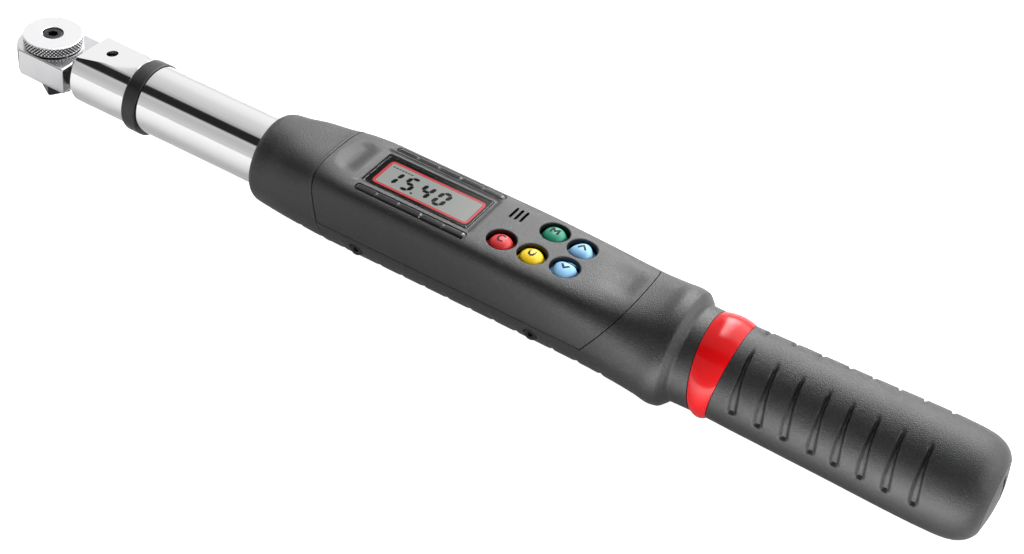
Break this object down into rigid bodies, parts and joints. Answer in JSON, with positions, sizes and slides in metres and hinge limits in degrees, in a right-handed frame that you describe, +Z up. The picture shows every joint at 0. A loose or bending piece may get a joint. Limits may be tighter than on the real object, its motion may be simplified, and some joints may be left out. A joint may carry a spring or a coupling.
{
  "type": "electronic torque wrench",
  "caption": "Electronic torque wrench with an insert ratchet head, round chrome tube, dark housing with display, light bars and coloured keys, and a grooved grip.",
  "frame": {"origin": "centre of the end face of the square drive", "axes": "+X along the wrench from the drive to the end of the grip, +Z up out of the display, the square drive points along -Z"},
  "size_m": [0.4228, 0.0456, 0.045],
  "materials": {
    "battery_wrap": "printed-film can",
    "black_plastic": "glossy black",
    "blue_plastic": "satin light blue",
    "board_green": "laminate",
    "brass": "bright",
    "chrome": "polished chrome plate",
    "dark_steel": "black oxide",
    "foil": "etched foil",
    "green_plastic": "satin green",
    "grip_plastic": "fine textured dark grey, slightly soft",
    "housing_plastic": "fine textured dark grey",
    "lcd_glass": "display panel",
    "lens_glass": "clear window",
    "red_gloss": "glossy red",
    "red_plastic": "satin red",
    "rubber": "black elastomer",
    "spring_steel": "bright steel",
    "white_plastic": "satin white",
    "yellow_plastic": "satin yellow"
  },
  "bodies": {
    "wrench": {"head_body": "chrome", "head_cover": "dark_steel", "pawl_pin": "spring_steel", "disc_screw": "dark_steel", "catch_spring": "spring_steel", "tool_holder": "chrome", "seal_ring": "black_plastic", "tube": "chrome", "beam_pin": "spring_steel", "gauge_near": "foil", "gauge_far": "foil", "lower_housing": "housing_plastic", "top_cover": "housing_plastic", "housing_screw_front_near": "spring_steel", "housing_screw_rear_near": "spring_steel", "housing_screw_front_far": "spring_steel", "housing_screw_rear_far": "spring_steel", "display_lens": "lens_glass", "lcd_panel": "lcd_glass", "lcd_holder": "white_plastic", "light_bar_near": "black_plastic", "light_bar_far": "black_plastic", "led_strip_near": "white_plastic", "led_strip_far": "white_plastic", "buzzer": "black_plastic", "circuit_board": "board_green", "keypad_mat": "rubber", "board_screw_front": "spring_steel", "board_screw_rear": "spring_steel", "red_ring": "red_gloss", "grip_sleeve": "grip_plastic", "handle_tube": "spring_steel", "battery_tube": "black_plastic", "battery_front": "battery_wrap", "battery_rear": "battery_wrap", "contact_spring": "spring_steel", "contact_plate": "brass"},
    "drive": {"drive_gear": "chrome", "detent_spring": "spring_steel"},
    "detent": {"detent_ball": "spring_steel"},
    "pawl_arm": {"pawl": "spring_steel"},
    "selector": {"direction_disc": "chrome"},
    "catch": {"catch_pin": "spring_steel"},
    "clear_key": {"button_clear": "red_plastic"},
    "units_key": {"button_units": "yellow_plastic"},
    "menu_key": {"button_menu": "green_plastic"},
    "up_key": {"button_up": "blue_plastic"},
    "down_key": {"button_down": "blue_plastic"},
    "cap_carrier": {"cap_seal": "rubber"},
    "cap": {"battery_cap": "grip_plastic"}
  },
  "joints": [
    {"name": "drive_spin", "type": "hinge", "parent": "wrench", "child": "drive", "pos_m": [0, 0, 0.012], "axis": [0, 0, 1], "continuous": true},
    {"name": "ball_press", "type": "slide", "parent": "drive", "child": "detent", "axis": [0.5, 0.866, 0], "range_m": [0, 0.0009], "stiffness_N_per_m": 400, "springref_m": -0.0005},
    {"name": "selector_turn", "type": "hinge", "parent": "wrench", "child": "selector", "pos_m": [0, 0, 0.0229], "axis": [0, 0, 1], "range_deg": [0, 40]},
    {"name": "pawl_rock", "type": "hinge", "parent": "wrench", "child": "pawl_arm", "pos_m": [0.0126, 0, 0.0121], "axis": [0, 0, 1], "range_deg": [-12, 0]},
    {"name": "catch_press", "type": "slide", "parent": "wrench", "child": "catch", "axis": [0, 0, -1], "range_m": [0, 0.0028], "stiffness_N_per_m": 500, "springref_m": -0.001, "deforming": ["catch_spring"]},
    {"name": "clear_press", "type": "slide", "parent": "wrench", "child": "clear_key", "axis": [0, 0, -1], "range_m": [0, 0.0009], "stiffness_N_per_m": 900, "springref_m": -0.0004},
    {"name": "units_press", "type": "slide", "parent": "wrench", "child": "units_key", "axis": [0, 0, -1], "range_m": [0, 0.0009], "stiffness_N_per_m": 900, "springref_m": -0.0004},
    {"name": "menu_press", "type": "slide", "parent": "wrench", "child": "menu_key", "axis": [0, 0, -1], "range_m": [0, 0.0009], "stiffness_N_per_m": 900, "springref_m": -0.0004},
    {"name": "up_press", "type": "slide", "parent": "wrench", "child": "up_key", "axis": [0, 0, -1], "range_m": [0, 0.0009], "stiffness_N_per_m": 900, "springref_m": -0.0004},
    {"name": "down_press", "type": "slide", "parent": "wrench", "child": "down_key", "axis": [0, 0, -1], "range_m": [0, 0.0009], "stiffness_N_per_m": 900, "springref_m": -0.0004},
    {"name": "cap_travel", "type": "slide", "parent": "wrench", "child": "cap_carrier", "axis": [1, 0, 0], "range_m": [0, 0.005]},
    {"name": "cap_turn", "type": "hinge", "parent": "cap_carrier", "child": "cap", "pos_m": [0.4066, 0, 0.0189], "axis": [1, 0, 0], "range_deg": [0, 720]}
  ],
  "couplings": [
    {"joint": "pawl_rock", "follows": "selector_turn", "ratio": -0.3},
    {"joint": "cap_turn", "follows": "cap_travel", "rad_per_m": 2513.3}
  ]
}
